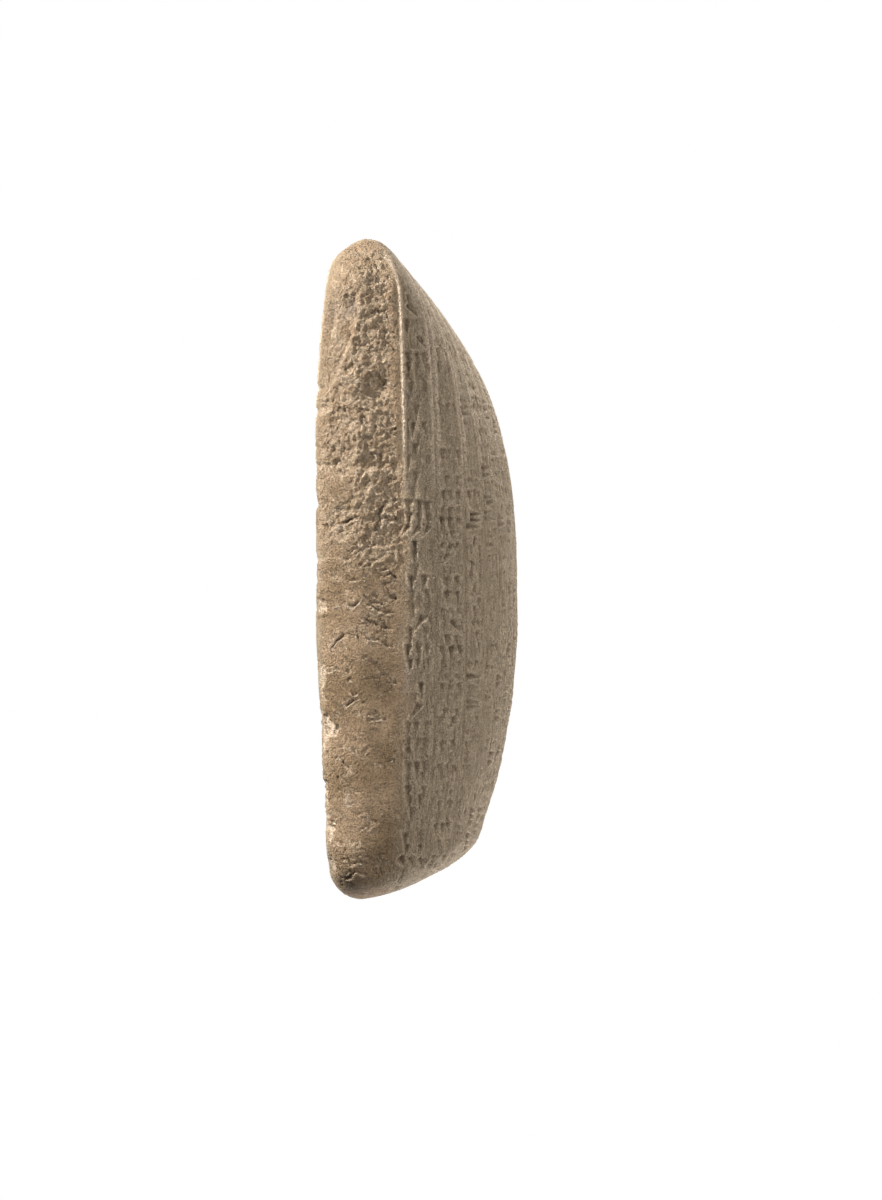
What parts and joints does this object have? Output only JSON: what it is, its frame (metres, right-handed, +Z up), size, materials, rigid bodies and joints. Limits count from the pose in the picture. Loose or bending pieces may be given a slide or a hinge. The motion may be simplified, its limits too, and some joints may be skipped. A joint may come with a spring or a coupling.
{
  "type": "cuneiform tablet",
  "caption": "Thick clay tablet with a flat face and a domed face, both marked with rows of stylus strokes, plain bands round its sides and one broken edge.",
  "frame": {"origin": "middle of the tablet's outline, at the height of its lowest point, the flat face that it lies on", "axes": "+X along the tablet towards its blunt end, +Y across it away from the band that the picture shows, +Z up through the domed face"},
  "size_m": [0.1076, 0.08, 0.0327],
  "materials": {
    "clay": "matt river clay, grey-brown on the inscribed faces and warmer brown on the bands, with crumbly breaks and hairline cracks"
  },
  "bodies": {
    "root": {"clay_tablet": "clay"}
  },
  "joints": []
}
